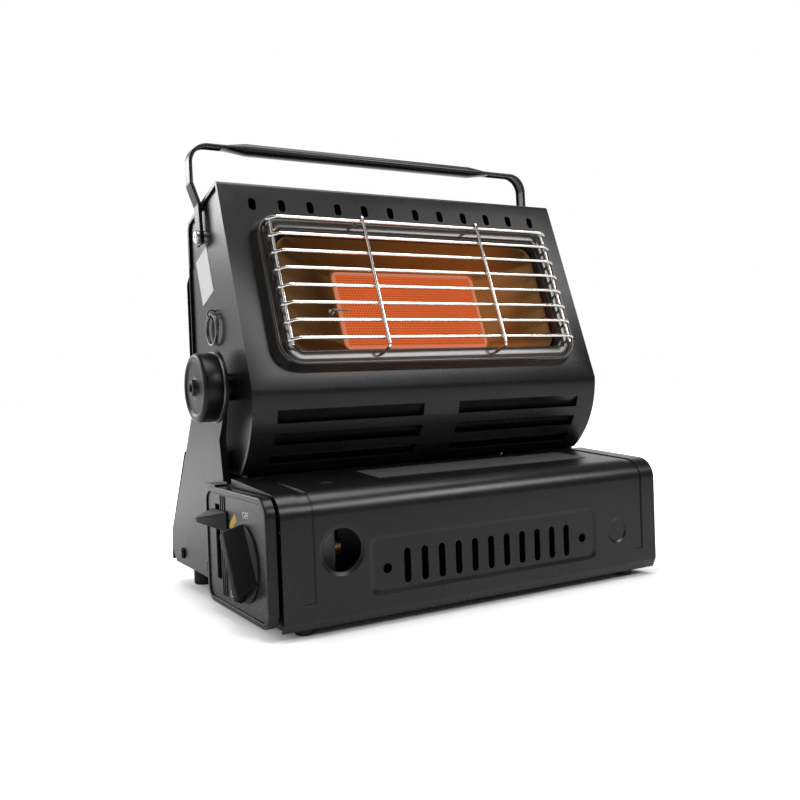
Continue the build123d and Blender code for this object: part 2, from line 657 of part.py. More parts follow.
def burner_box():
    """Mixing box behind the tile, with a front flange and a ledge for the tile."""
    back = plaque_depth + 1.2 + box_depth
    outer = front_slab(plaque_half + 3.5, plaque_low - 3.5, plaque_high + 3.5, 8, back, box_depth)
    inner = front_slab(plaque_half + 2.5, plaque_low - 2.5, plaque_high + 2.5, 7, back - sheet, box_depth)
    flange = front_slab(plaque_half + 10, plaque_low - 10, plaque_high + 10, 8, plaque_depth + 2.2, sheet)
    ledge = front_slab(plaque_half + 3, plaque_low - 3, plaque_high + 3, 7, plaque_depth + plaque_thick + 1, sheet)
    ledge = ledge - front_slab(plaque_half - 2, plaque_low + 2, plaque_high - 2, 5, plaque_depth + 30, 30)
    mixer_hole = rod_y(7, front_y + back - 3, front_y + back + 2, 17, venturi_z)
    return outer + flange - inner + ledge - mixer_hole - probe_holes()


box_back_y = front_y + plaque_depth + 1.2 + box_depth
venturi_radius = 10.0
venturi_y = box_back_y + venturi_radius + 1
venturi_z = (plaque_low + plaque_high) / 2
venturi_mouth_x = head_half - 40.0
jet_length = 8.0


def venturi_tube():
    """Mixing tube behind the burner box, with air holes at its mouth and an elbow into the box."""
    tube = rod_x(venturi_radius, -venturi_mouth_x, 30, venturi_y, venturi_z)
    elbow = rod_y(9, box_back_y, venturi_y, 17, venturi_z)
    bore = rod_x(venturi_radius - sheet, -venturi_mouth_x - 1, 28, venturi_y, venturi_z)
    elbow_bore = rod_y(7, box_back_y - 1, venturi_y, 17, venturi_z)
    air_holes = rod_y(3.5, venturi_y - 20, venturi_y + 20, -venturi_mouth_x + 14, venturi_z)
    return tube + elbow - bore - elbow_bore - air_holes


def gas_jet():
    """Brass jet pressed into the mixing tube's mouth."""
    body = rod_x(venturi_radius - sheet, -venturi_mouth_x, -venturi_mouth_x + jet_length, venturi_y, venturi_z)
    tip = rod_x(2.5, -venturi_mouth_x + jet_length, -venturi_mouth_x + jet_length + 5, venturi_y, venturi_z)
    return body + tip


lower_tube_x = pan_wall_x - 14.6
lower_tube_z = 45.0
union_radius = 6.0
union_split_x = lower_tube_x - 13.0
union_end_x = union_split_x - 8.0


def gas_tube_lower():
    """Tube from the regulator through the bulkhead and up to the union on the tilt axis."""
    path = FilletPolyline((-lower_tube_x, regulator_rear_y, lower_tube_z), (-lower_tube_x, pivot_y, lower_tube_z),
                          (-lower_tube_x, pivot_y, pivot_z), (-union_split_x - 6, pivot_y, pivot_z), radius=6.2)
    return tube_along(path, tube_diameter)


def union_fixed_half():
    """Fixed half of the gas union, with the spigot that the head's half turns on."""
    body = rod_x(union_radius, -union_split_x - 6, -union_split_x, pivot_y, pivot_z)
    return body + rod_x(3, -union_split_x, -union_split_x + 6, pivot_y, pivot_z)


def union_head_half():
    """Half of the gas union that turns with the head."""
    body = rod_x(union_radius, -union_split_x + face_gap, -union_end_x, 0, 0)
    return body - rod_x(3 + running_fit, -union_split_x, -union_split_x + 6.2, 0, 0)


def gas_tube_upper():
    """Tube from the union up to the jet."""
    x = -union_end_x - 3.5
    path = FilletPolyline((x, 0, union_radius - 0.2), (x, 0, venturi_z), (x, venturi_y, venturi_z),
                          (-venturi_mouth_x, venturi_y, venturi_z), radius=6)
    return tube_along(path, tube_diameter) - rod_x(union_radius, x - 10, x + 10, 0, 0)


# ---- Wire guard ----
wire_offset = 17.25                       # cross wires, in front of the head's front face
rod_offset = 12.2
wire_count = 8


def wire_path(z):
    """One cross wire: straight over the window, turned back at its ends to the frame's lip."""
    bend_x = window_half + 1.3
    foot_x = window_half + 7.0
    points = [(-foot_x, front_y - rim_proud, z), (-foot_x, front_y - wire_offset + 4, z),
              (-bend_x, front_y - wire_offset, z), (bend_x, front_y - wire_offset, z),
              (foot_x, front_y - wire_offset + 4, z), (foot_x, front_y - rim_proud, z)]
    return FilletPolyline(*points, radius=1.6)


def wire_heights():
    first, last = on_front(0.762), on_front(0.184)
    return [first + (last - first) * index / (wire_count - 1) for index in range(wire_count)]


def grill_cross_wires():
    return [tube_along(wire_path(z), grill_wire) for z in wire_heights()]


def grill_end_rods():
    """Upright rods inside the turned-back ends of the cross wires."""
    x = window_half + 6.85 - grill_wire
    low, high = min(wire_heights()) - 3, max(wire_heights()) + grill_wire / 2
    rod = Pos(x, front_y - rod_offset, (low + high) / 2) * Cylinder(grill_wire / 2, high - low)
    return [rod, mirror_x(rod)]


def grill_front_bars():
    """Two upright bars over the cross wires, hooked back to the frame's lip."""
    x = window_half * 0.438
    bar_y = front_y - wire_offset - grill_wire
    low, high = on_front(0.133), on_front(0.7815)
    path = FilletPolyline((x, front_y - rim_proud, high), (x, bar_y, high), (x, bar_y, low),
                          (x, front_y - rim_proud, low), radius=2.5)
    bar = tube_along(path, grill_wire)
    return [bar, mirror_x(bar)]


# ---- Small parts of the head ----
def ignition_electrode():
    """Ceramic-sleeved spark electrode beside the tile."""
    x, z = electrode_place
    sleeve = rod_y(2.2, front_y + plaque_depth - 1.5, front_y + plaque_depth + 20, x, z)
    tip = rod_y(0.7, front_y + plaque_depth - 5.5, front_y + plaque_depth - 1.5, x, z)
    arm = rod_x(0.7, x - 0.6, x + 12, front_y + plaque_depth - 5.5, z)
    return sleeve + tip + arm


def flame_sensor():
    """Thermocouple that holds the gas valve open while the tile is hot."""
    x, z = sensor_place
    stem = rod_y(1.7, front_y + plaque_depth - 2, front_y + plaque_depth + 20, x, z)
    return stem + rod_y(1.1, front_y + plaque_depth - 7, front_y + plaque_depth - 2, x, z)


def pivot_spacers():
    """Spacer rings between the head and the stand plates."""
    ring = rod_x(9, side_plate_out_x, stand_in_x - face_gap, 0, 0)
    ring = ring - rod_x(stud_diameter / 2 + running_fit, side_plate_out_x - 1, stand_in_x + 1, 0, 0)
    return [ring, mirror_x(ring)]


def pivot_nuts():
    """Weld nuts inside the head for the tilt studs."""
    nut_outline = RegularPolygon(stud_diameter * 0.9, 6)
    nut = plate(nut_outline, side_plate_in_x - 3.4, side_plate_in_x)
    nut = nut - rod_x(stud_diameter / 2 + running_fit, side_plate_in_x - 5, side_plate_in_x + 1, 0, 0)
    return [nut, mirror_x(nut)]


def handle_screws():
    """Shouldered screws that the handle swings on."""
    shoulder = rod_x(handle_pin / 2 + 1.4, side_plate_out_x, strap_in_x - face_gap, *handle_pivot)
    shank = rod_x(handle_pin / 2, side_plate_in_x - 2, strap_out_x + face_gap, *handle_pivot)
    head = rod_x(4.4, strap_out_x + face_gap, strap_out_x + 2.6, *handle_pivot)
    head = fillet(head.edges().group_by(Axis.X)[-1], 1.5)
    screw = shoulder + shank + head
    return [screw, mirror_x(screw)]


eyelet_place = (2.3, on_front(0.488))
ring_wire_radius = 1.1
ring_radius = 10.0
eyelet_stand = 2.4


def ring_eyelet():
    """Wire staple on the left side plate."""
    y, z = leaning_point(*eyelet_place)
    staple = Pos(-side_plate_out_x - eyelet_stand, y, z) * Rot(X=90) * Torus(2.7, 0.6)
    return staple - block(-side_plate_out_x, 0, y - 5, y + 5, z - 5, z + 5)


def pull_ring():
    """Ring that hangs from the eyelet."""
    y, z = leaning_point(*eyelet_place)
    return Pos(-side_plate_out_x - eyelet_stand, y, z - ring_radius) * Rot(Y=90) * Torus(ring_radius, ring_wire_radius)


def side_label():
    """Blank label on the left side plate."""
    outline = Pos(9.2, on_front(0.703)) * RectangleRounded(24, 33, 0.5)
    return plate(outline, -side_plate_out_x - 0.3, -side_plate_out_x)


# ---- Tilt knobs ----
def tilt_knob():
    """Right-hand clamp knob, a drum with a dished front and a centre hub."""
    inner_x = stand_out_x + 1.4
    disc = rod_x(22.0, inner_x, inner_x + 12.2, pivot_y, pivot_z)
    disc = chamfer(disc.edges().group_by(Axis.X)[-1], 2.2)
    rim_ring = rod_x(17.5, inner_x + 11.0, inner_x + 13, pivot_y, pivot_z)
    hub = rod_x(5, inner_x + 11.0, inner_x + 14.2, pivot_y, pivot_z)
    socket = rod_x(stud_diameter / 2, inner_x - 1, inner_x + 6, pivot_y, pivot_z)
    return disc - rim_ring + hub - socket


def tilt_stud():
    """Threaded stud moulded into the knob; it reaches the nut in the head."""
    return rod_x(stud_diameter / 2, side_plate_in_x - 3.2, stand_out_x + 7.4, pivot_y, pivot_z)


def tilt_washer():
    """Broad zinc washer under the knob."""
    washer = rod_x(22.8, stand_out_x + face_gap, stand_out_x + 1.4, pivot_y, pivot_z)
    return washer - rod_x(stud_diameter / 2, stand_out_x - 1, stand_out_x + 3, pivot_y, pivot_z)


# ---- Carrying handle ----
def carry_handle():
    """Bent strap with a rounded grip, swinging on the head's two upper screws."""
    pin_y, pin_z = leaning_point(*handle_pivot)
    mid_x = (strap_in_x + strap_out_x) / 2
    leg_x = mid_x + handle_spread
    grip_y, grip_z = pin_y + handle_back, pin_z + handle_rise
    half_path = [(mid_x, pin_y - 0.5, pin_z - 5.5), (mid_x, pin_y + 2.5, pin_z + 21.5),
                 (leg_x, pin_y + 7.5, pin_z + 36.5), (leg_x, grip_y, grip_z)]
    other_half = [(-x, y, z) for x, y, z in reversed(half_path)]
    path = FilletPolyline(*half_path, *other_half, radius=[6, 6, 13, 13, 6, 6])
    start = Plane(origin=path @ 0, x_dir=(0, 1, 0), z_dir=path % 0)
    hollow = Pos(0, strap_sheet) * Rectangle(strap_width - 2 * strap_sheet, strap_thick)
    channel = RectangleRounded(strap_width, strap_thick, 0.9) - hollow
    strap = sweep(start * channel, path=path)
    boss = rod_x(strap_width / 2, strap_in_x, strap_out_x, pin_y, pin_z)
    grip_outline = Pos(grip_y, grip_z) * Ellipse(6.0, 4.2)
    neck_outline = Pos(grip_y, grip_z) * Ellipse(5.3, 1.5)
    left_x, right_x, taper = -cover_half * 0.704, cover_half * 0.62, 18.0
    grip = plate(grip_outline, left_x, right_x)
    for end_x, neck_x in ((left_x, left_x - taper), (right_x, right_x + taper)):
        grip = grip + loft([Plane.YZ.offset(end_x) * grip_outline, Plane.YZ.offset(neck_x) * neck_outline])
    eyes = rod_x(handle_pin / 2 + running_fit, -cover_half, cover_half, pin_y, pin_z)
    return strap + boss + mirror_x(boss) + grip - eyes


# ---- Assembly ----
head_shell_cached = head_shell()
right_side_plate = side_plate()
left_slot = block(-side_plate_out_x - 1, -side_plate_in_x + 1, -2, 2, on_front(0.42), on_front(0.455))

parts = {
    "base_pan": base_pan(),
    "compartment_bulkhead": compartment_bulkhead(),
    "stand_left": mirror_x(stand_side(arm=True)),
    "stand_right": stand_side(arm=False),
    "stand_rear_panel": stand_rear_panel(),
    "front_feet": feet(5.5, cover_half - 18, 14.0, pan_floor_z),
    "rear_feet": feet(7.0, cover_half - 14.6, 184.0, 16.5),
    "cover_pivot_pins": cover_pivot_pins(),
    "cartridge_cradle": cartridge_cradle(),
    "stand_screws": stand_screws(),
    "control_housing": control_housing(),
    "control_faceplate": control_faceplate(),
    "regulator_body": regulator_body(),
    "cartridge_inlet": cartridge_inlet(),
    "inlet_seal": inlet_seal(),
    "collar_fork": collar_fork(),
    "piezo_igniter": piezo_igniter(),
    "gas_tube_lower": gas_tube_lower(),
    "union_fixed_half": union_fixed_half(),
    "gas_knob": gas_knob(),
    "valve_spindle": valve_spindle(),
    "lock_lever": lock_lever(),
    "cartridge_cover": cartridge_cover(),
    "cover_label": cover_label(),
    "head_shell": lean(head_shell_cached),
    "side_plate_right": lean(right_side_plate),
    "side_plate_left": lean(mirror_x(right_side_plate) - left_slot),
    "rear_panel": lean(rear_panel()),
    "rear_shield": lean(rear_shield()),
    "rim_frame": lean(rim_frame()),
    "reflector": lean(reflector()),
    "ceramic_plaque": lean(ceramic_plaque()),
    "plaque_gasket": lean(plaque_gasket()),
    "burner_box": lean(burner_box()),
    "venturi_tube": lean(venturi_tube()),
    "gas_jet": lean(gas_jet()),
    "gas_tube_upper": lean(gas_tube_upper()),
    "union_head_half": lean(union_head_half()),
    "grill_cross_wires": [lean(wire) for wire in grill_cross_wires()],
    "grill_end_rods": [lean(rod) for rod in grill_end_rods()],
    "grill_front_bars": [lean(bar) for bar in grill_front_bars()],
    "ignition_electrode": lean(ignition_electrode()),
    "flame_sensor": lean(flame_sensor()),
    "pivot_spacers": [lean(ring) for ring in pivot_spacers()],
    "pivot_nuts": [lean(nut) for nut in pivot_nuts()],
    "handle_screws": [lean(screw) for screw in handle_screws()],
    "ring_eyelet": ring_eyelet(),
    "side_label": lean(side_label()),
    "pull_ring": pull_ring(),
    "tilt_knob_right": tilt_knob(),
    "tilt_knob_left": mirror_x(tilt_knob()),
    "tilt_stud_right": tilt_stud(),
    "tilt_stud_left": mirror_x(tilt_stud()),
    "tilt_washer_right": tilt_washer(),
    "tilt_washer_left": mirror_x(tilt_washer()),
    "carry_handle": carry_handle(),
}

os.makedirs("parts", exist_ok=True)
for name, piece in parts.items():
    solids = piece if isinstance(piece, list) else [piece]
    placed = [Pos(0, footprint_shift, 0) * solid for solid in solids]
    node = placed[0] if len(placed) == 1 else Compound(children=placed)
    export_step(node, f"parts/{name}.step")
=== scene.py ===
import json
import math

import bmesh
import bpy
from mathutils import Matrix, Vector

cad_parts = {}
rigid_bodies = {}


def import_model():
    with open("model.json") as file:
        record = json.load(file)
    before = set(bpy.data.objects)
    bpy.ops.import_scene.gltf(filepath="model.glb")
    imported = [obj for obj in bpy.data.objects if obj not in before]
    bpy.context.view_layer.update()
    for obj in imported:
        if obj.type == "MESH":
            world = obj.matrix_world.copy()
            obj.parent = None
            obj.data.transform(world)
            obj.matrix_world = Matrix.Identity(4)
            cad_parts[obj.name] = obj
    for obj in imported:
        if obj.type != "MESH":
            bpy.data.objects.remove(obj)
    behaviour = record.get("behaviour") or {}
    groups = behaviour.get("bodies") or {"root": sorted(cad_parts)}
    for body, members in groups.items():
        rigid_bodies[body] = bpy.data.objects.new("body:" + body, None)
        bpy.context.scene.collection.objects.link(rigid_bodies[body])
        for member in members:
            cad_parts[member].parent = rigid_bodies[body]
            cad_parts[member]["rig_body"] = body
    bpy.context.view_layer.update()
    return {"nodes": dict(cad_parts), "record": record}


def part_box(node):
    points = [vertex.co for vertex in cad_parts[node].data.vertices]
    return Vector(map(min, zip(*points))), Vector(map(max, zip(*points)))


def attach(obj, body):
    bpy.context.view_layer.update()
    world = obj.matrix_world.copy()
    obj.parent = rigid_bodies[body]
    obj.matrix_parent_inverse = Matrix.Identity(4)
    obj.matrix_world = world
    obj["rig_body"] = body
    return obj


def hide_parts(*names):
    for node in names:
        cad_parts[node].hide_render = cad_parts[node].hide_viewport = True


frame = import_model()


# ---- Pan, bulkhead and stand ----
# The floor of the heater: a folded pan, the wall behind the cartridge and two stand plates joined by a rear
# panel. All are 1 to 1.2 mm mild steel, blanked, folded and spot welded, then powder coated satin black.
class Wire:
    """A shader socket; arithmetic on it adds Math nodes to its finish."""

    def __init__(self, finish, socket):
        self.finish, self.socket = finish, socket

    def maths(self, operation, *values):
        return self.finish.add("ShaderNodeMath", {"operation": operation}, dict(enumerate(values)))

    def __add__(self, other):
        return self.maths("ADD", self, other)

    def __radd__(self, other):
        return self.maths("ADD", other, self)

    def __sub__(self, other):
        return self.maths("SUBTRACT", self, other)

    def __rsub__(self, other):
        return self.maths("SUBTRACT", other, self)

    def __mul__(self, other):
        return self.maths("MULTIPLY", self, other)

    def __rmul__(self, other):
        return self.maths("MULTIPLY", other, self)

    def __truediv__(self, other):
        return self.maths("DIVIDE", self, other)

    def __abs__(self):
        return self.maths("ABSOLUTE", self)

    def least(self, other):
        return self.maths("MINIMUM", self, other)

    def most(self, other):
        return self.maths("MAXIMUM", self, other)


class Shading:
    """A node tree that nodes are added to in one way."""

    def __init__(self, tree):
        self.tree = tree

    def add(self, kind, settings, sockets, output=0):
        node = self.tree.nodes.new(kind)
        for key, value in settings.items():
            if key == "stops":
                ramp = node.color_ramp.elements
                while len(ramp) < len(value):
                    ramp.new(0.5)
                for stop, (position, colour) in zip(ramp, value):
                    stop.position, stop.color = position, (*colour, 1)
            else:
                setattr(node, key, value)
        for key, value in sockets.items():
            self.join(node.inputs[key], value)
        return Wire(self, node.outputs[output])

    def join(self, socket, value):
        if isinstance(value, Wire):
            self.tree.links.new(value.socket, socket)
        elif isinstance(value, tuple) and len(value) == 3 and socket.type == "RGBA":
            socket.default_value = (*value, 1)
        else:
            socket.default_value = value

    def ramp(self, value, low, high):
        """0 below low, 1 above high and smooth between them."""
        return self.add("ShaderNodeMapRange", {"interpolation_type": "SMOOTHSTEP"},
                        {"Value": value, "From Min": low, "From Max": high})


class Finish(Shading):
    """A surface finish: a material with one Principled shader and the nodes that vary it."""

    def __init__(self, name, **uniform):
        self.material = bpy.data.materials.new(name)
        self.material.use_nodes = True
        super().__init__(self.material.node_tree)
        self.shader = self.tree.nodes["Principled BSDF"]
        for socket, value in uniform.items():
            self.shader.inputs[socket.replace("_", " ")].default_value = value
        self.place = self.add("ShaderNodeTexCoord", {}, {}, "Object")

    def noise(self, scale, detail=2.0, place=None):
        return self.add("ShaderNodeTexNoise", {},
                        {"Vector": place or self.place, "Scale": scale, "Detail": detail})

    def blend(self, share, first, second):
        return self.add("ShaderNodeMix", {"data_type": "RGBA"}, {0: share, 6: first, 7: second}, 2)

    def shade(self, **varying):
        for socket, value in varying.items():
            self.join(self.shader.inputs[socket.replace("_", " ")], value)

    def relief(self, height, depth, strength=1.0):
        """Bump of a given depth in metres."""
        bump = self.add("ShaderNodeBump", {}, {"Height": height, "Distance": depth, "Strength": strength})
        self.shade(Normal=bump)


def powder_coat(name, dark, light, roughness):
    """Satin powder coat: fine orange peel, faint clouding, and a few specks that lie flatter."""
    coat = Finish(name, Specular_IOR_Level=0.3)
    peel, cloud = coat.noise(1100, 3), coat.noise(16, 4)
    specks = coat.ramp(coat.noise(420, 1), 0.66, 0.74)
    coat.shade(Base_Color=coat.blend(cloud, dark, light),
               Roughness=roughness + 0.1 * cloud + 0.08 * peel - 0.02 * specks)
    coat.relief(peel + 0.1 * specks, 0.00003, 0.3)
    return coat


def body_of(node):
    return frame["nodes"][node]["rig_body"]


def slot_of(node):
    return next(row["material_slot"] for row in frame["record"]["subparts"] if row["node"] == node)


def paint(finish, *names):
    """Gives carried-over pieces of the frame their finish."""
    for name in names:
        materials = frame["nodes"][name].data.materials
        materials.clear()
        materials.append(finish.material)


def new_piece(name, bm, finish, *replaced, body=None, slot=None):
    """Makes a piece from a bmesh in place of the frame's nodes."""
    mesh = bpy.data.meshes.new(name)
    bm.to_mesh(mesh)
    bm.free()
    piece = bpy.data.objects.new(name, mesh)
    bpy.context.scene.collection.objects.link(piece)
    mesh.materials.append(finish.material)
    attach(piece, body or body_of(replaced[0]))
    slot or slot_of(replaced[0])
    if replaced:
        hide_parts(*replaced)
    return piece


def soften(bm, angle=32):
    """Smooth shading, broken at creases sharper than an angle in degrees."""
    for face in bm.faces:
        face.smooth = True
    for edge in bm.edges:
        edge.smooth = len(edge.link_faces) == 2 and edge.calc_face_angle(0) < math.radians(angle)


def refine(name, finish, edge=0.00025, crease=32):
    """Stands a merged copy of a node, with smooth rounds and softened edges, in its place."""
    bm = bmesh.new()
    bm.from_mesh(frame["nodes"][name].data)
    bmesh.ops.remove_doubles(bm, verts=bm.verts, dist=2e-6)
    bmesh.ops.dissolve_limit(bm, angle_limit=math.radians(0.6), verts=bm.verts, edges=bm.edges,
                             use_dissolve_boundaries=False, delimit={"NORMAL"})
    soften(bm, crease)
    piece = new_piece(name + "_finished", bm, finish, name)
    if edge:
        bevel = piece.modifiers.new("rounded edges", "BEVEL")
        bevel.width, bevel.segments, bevel.limit_method = edge, 2, "ANGLE"
        bevel.angle_limit, bevel.harden_normals = math.radians(crease), True
    return piece


black_coat = powder_coat("black_powder_coat", (0.0036, 0.0039, 0.0038), (0.006, 0.0064, 0.0062), 0.2)
for sheet_piece in ("base_pan", "compartment_bulkhead", "stand_left", "stand_right", "stand_rear_panel"):
    refine(sheet_piece, black_coat)


# ---- Feet ----
# Four black rubber feet, moulded with a chamfered tread. One pair stands under the front of the pan and one
# under the stand, and they pick up dust.
rubber = Finish("foot_rubber", Specular_IOR_Level=0.3)
dust = rubber.noise(60, 5)
rubber.shade(Base_Color=rubber.blend(dust, (0.012, 0.012, 0.012), (0.032, 0.031, 0.03)),
             Roughness=0.62 + 0.25 * dust)
rubber.relief(rubber.noise(2200, 2), 0.00003, 0.5)
for pair in ("front_feet", "rear_feet"):
    refine(pair, rubber, 0.0005)


# ---- Zinc-plated hardware ----
# Pins, studs, nuts, the cradle, the locking fork and the burner's box and mixing tube are mild steel, bright
# zinc plated, with faint draw marks. The knobs' washers have dulled. The spacers and the stand's screws are
# coated black like the sheet metal.
zinc = Finish("zinc_steel", Metallic=1.0)
marks = zinc.noise(1.0, 3, zinc.add("ShaderNodeMapping", {}, {"Vector": zinc.place, "Scale": (60, 900, 900)}))
stain = zinc.noise(90, 4)
zinc.shade(Base_Color=zinc.blend(stain, (0.47, 0.49, 0.52), (0.66, 0.66, 0.65)),
           Roughness=0.24 + 0.16 * stain + 0.1 * marks)
zinc.relief(marks, 0.00001, 0.4)
refine("cover_pivot_pins", zinc, 0.0)
paint(zinc, "cartridge_cradle", "collar_fork", "burner_box", "venturi_tube", "pivot_nuts")
refine("tilt_stud_left", zinc, 0.0002)
refine("tilt_stud_right", zinc, 0.0002)
dull_zinc = Finish("dull_zinc", Metallic=1.0)
stain = dull_zinc.noise(140, 4)
dull_zinc.shade(Base_Color=dull_zinc.blend(stain, (0.16, 0.165, 0.17), (0.26, 0.26, 0.26)),
                Roughness=0.34 + 0.16 * stain)
dull_zinc.relief(stain, 0.00001, 0.4)
refine("tilt_washer_left", dull_zinc, 0.0002)
refine("tilt_washer_right", dull_zinc, 0.0002)
refine("pivot_spacers", black_coat, 0.0002)
refine("stand_screws", black_coat, 0.0)


# ---- Regulator, spigot and gas line ----
# A grey die casting with a turned brass spigot for the cartridge, a drawn aluminium tube to a brass union on
# the tilt axis, and from there a second tube to the brass jet.
casting = Finish("die_casting", Metallic=1.0)
skin = casting.noise(700, 4)
casting.shade(Base_Color=casting.blend(skin, (0.36, 0.37, 0.38), (0.55, 0.55, 0.55)),
              Roughness=0.42 + 0.2 * skin)
casting.relief(skin, 0.00005, 0.6)
refine("regulator_body", casting)

brass = Finish("jet_brass", Metallic=1.0)
turning = brass.noise(300, 3)
brass.shade(Base_Color=brass.blend(turning, (0.62, 0.42, 0.15), (0.82, 0.6, 0.26)),
            Roughness=0.18 + 0.2 * turning)
brass.relief(turning, 0.00001, 0.4)
for turned in ("cartridge_inlet", "union_fixed_half", "union_head_half", "gas_jet", "flame_sensor",
               "valve_spindle"):
    refine(turned, brass, 0.0)

aluminium = Finish("plated_tube", Metallic=1.0)
drawing = aluminium.noise(500, 3)
aluminium.shade(Base_Color=aluminium.blend(drawing, (0.6, 0.61, 0.63), (0.78, 0.78, 0.79)),
                Roughness=0.25 + 0.18 * drawing)
aluminium.relief(drawing, 0.00001, 0.4)
refine("gas_tube_lower", aluminium, 0.0)
refine("gas_tube_upper", aluminium, 0.0)
paint(rubber, "inlet_seal")


# ---- Control end ----
# A black moulded end cap with a raised glossy rim, and in it a glossy dark plate printed in white round the
# knob. Behind it, in the pan's wall, sits the spring igniter.
def moulding(name, dark, light, roughness, grain):
    """Injection-moulded plastic: sparked grain and slight flow marks."""
    plastic = Finish(name, Specular_IOR_Level=0.24)
    spark, flow = plastic.noise(grain, 2), plastic.noise(45, 2)
    plastic.shade(Base_Color=plastic.blend(flow, dark, light),
                  Roughness=roughness + 0.12 * spark + 0.06 * flow)
    plastic.relief(spark, 0.00002, 0.15)
    return plastic


housing_plastic = moulding("housing_plastic", (0.004, 0.004, 0.0045), (0.008, 0.008, 0.0085), 0.2, 1500)
knob_plastic = moulding("knob_plastic", (0.0022, 0.0022, 0.0022), (0.004, 0.004, 0.004), 0.26, 1300)
refine("control_housing", housing_plastic, 0.0004)
paint(knob_plastic, "piezo_igniter")

plate_gloss = moulding("faceplate_gloss", (0.02, 0.021, 0.02), (0.027, 0.028, 0.027), 0.2, 700)
refine("control_faceplate", plate_gloss, 0.0002)
print_x = -0.14903                 # just proud of the control plate
dial_y, dial_z = -64.2, 40.0       # the gas knob's axis, in millimetres


def on_plate(bm, y, z, turn=0.0):
    """Stands flat work, drawn in millimetres in X and Y, on the control plate, read from the left."""
    facing_left = Matrix(((0, 0, -1), (-1, 0, 0), (0, 1, 0))).to_4x4()
    place = Matrix.Translation((print_x, y / 1000, z / 1000)) @ facing_left
    bmesh.ops.transform(bm, matrix=place @ Matrix.Rotation(turn, 4, "Z") @ Matrix.Scale(0.001, 4),
                        verts=bm.verts)


def lettering(word, height, y, z):
    """A printed word as a thin mesh."""
    curve = bpy.data.curves.new(word, "FONT")
    curve.body, curve.size, curve.align_x, curve.align_y = word, height, "CENTER", "CENTER"
    curve.extrude, curve.offset = 0.02, 0.06
    drawn = bpy.data.objects.new(word, curve)
    mesh = bpy.data.meshes.new_from_object(drawn)
    bm = bmesh.new()
    bm.from_mesh(mesh)
    bpy.data.objects.remove(drawn)
    on_plate(bm, y, z)
    return bm


def ink(name, colour, worn):
    """Screen-printed ink, slightly thin in places."""
    paint_layer = Finish(name, Specular_IOR_Level=0.35)
    wear = paint_layer.noise(900, 3)
    paint_layer.shade(Base_Color=paint_layer.blend(wear, colour, worn), Roughness=0.35 + 0.2 * wear)
    paint_layer.relief(wear, 0.00001, 0.3)
    return paint_layer


white_ink = ink("white_ink", (0.62, 0.62, 0.6), (0.4, 0.4, 0.39))
yellow_ink = ink("yellow_ink", (0.62, 0.42, 0.015), (0.45, 0.27, 0.01))
for word, y, z in (("OFF", -67.6, 68.4), ("ON", -42.0, 17.5)):
    new_piece("print_" + word.lower(), lettering(word, 5.6, y, z), white_ink,
              body="base", slot="faceplate_gloss")
arc_inner, arc_outer = 26.0, 31.0
for name, start, sweep in (("print_high", 38, 26), ("print_low", -36, 30)):
    bm = bmesh.new()
    ends = [bm.verts.new((-radius, 0, 0)) for radius in (arc_inner, arc_outer)]
    line = bm.edges.new(ends)
    bmesh.ops.spin(bm, geom=ends + [line], cent=(0, 0, 0), axis=(0, 0, -1), angle=math.radians(sweep),
                   steps=14)
    on_plate(bm, dial_y, dial_z, math.radians(-start))
    new_piece(name, bm, yellow_ink, body="base", slot="faceplate_gloss")

bm = bmesh.new()
rib_x, rib_z, rib_size = -0.14925, 0.0455, (0.0007, 0.0016, 0.062)
for y in (-31.9, -28.6, -25.3):
    place = Matrix.Translation((rib_x, y / 1000, rib_z))
    bmesh.ops.create_cube(bm, size=1.0, matrix=place @ Matrix.Diagonal((*rib_size, 1)))
bmesh.ops.bevel(bm, geom=bm.edges[:], offset=0.0003, segments=2, profile=0.5, affect="EDGES", material=-1)
soften(bm, 50)
new_piece("slot_ribs", bm, housing_plastic, body="base", slot="housing_plastic")
refine("lock_lever", knob_plastic, 0.0005)


def spun(bm, profile, centre_y, centre_z, side):
    """Turns a profile of (x, radius) in millimetres about an axis along X."""
    points = [bm.verts.new((side * x / 1000, centre_y, centre_z + radius / 1000)) for x, radius in profile]
    edges = [bm.edges.new(pair) for pair in zip(points, points[1:])]
    bmesh.ops.spin(bm, geom=points + edges, cent=(0, centre_y, centre_z), axis=(1, 0, 0), angle=math.tau,
                   steps=72, use_merge=True)
    bmesh.ops.remove_doubles(bm, verts=bm.verts, dist=1e-6)
    bmesh.ops.recalc_face_normals(bm, faces=bm.faces)


# The dial's skirt is a shade greyer than the bar that stands on it.
skirt_face = -0.1506
dial_plastic = Finish("dial_plastic", Specular_IOR_Level=0.12)
outward = dial_plastic.add("ShaderNodeSeparateXYZ", {}, {"Vector": dial_plastic.place})
spark = dial_plastic.noise(1300, 2)
bar_share = dial_plastic.ramp(outward, skirt_face, skirt_face - 0.0003)
dial_plastic.shade(Base_Color=dial_plastic.blend(bar_share, (0.016, 0.017, 0.017), (0.0012, 0.0012, 0.0012)),
                   Roughness=0.4 + 0.14 * spark)
dial_plastic.relief(spark, 0.00003, 0.3)
skirt = ((149.2, 3.4), (149.2, 22.6), (149.5, 23.0), (150.2, 23.0), (150.6, 22.5), (150.6, 0.0))
bar_foot, bar_crest = (19.2, 15.5, -150.5), (20.6, 3.4, -159.5)
bm = bmesh.new()
for half_length, half_width, x in (bar_foot, bar_crest):
    for length, width in ((-1, -1), (-1, 1), (1, 1), (1, -1)):
        bm.verts.new((x / 1000, width * half_width / 1000, length * half_length / 1000))
bmesh.ops.convex_hull(bm, input=bm.verts[:])
bmesh.ops.dissolve_limit(bm, angle_limit=0.02, verts=bm.verts, edges=bm.edges, use_dissolve_boundaries=False)
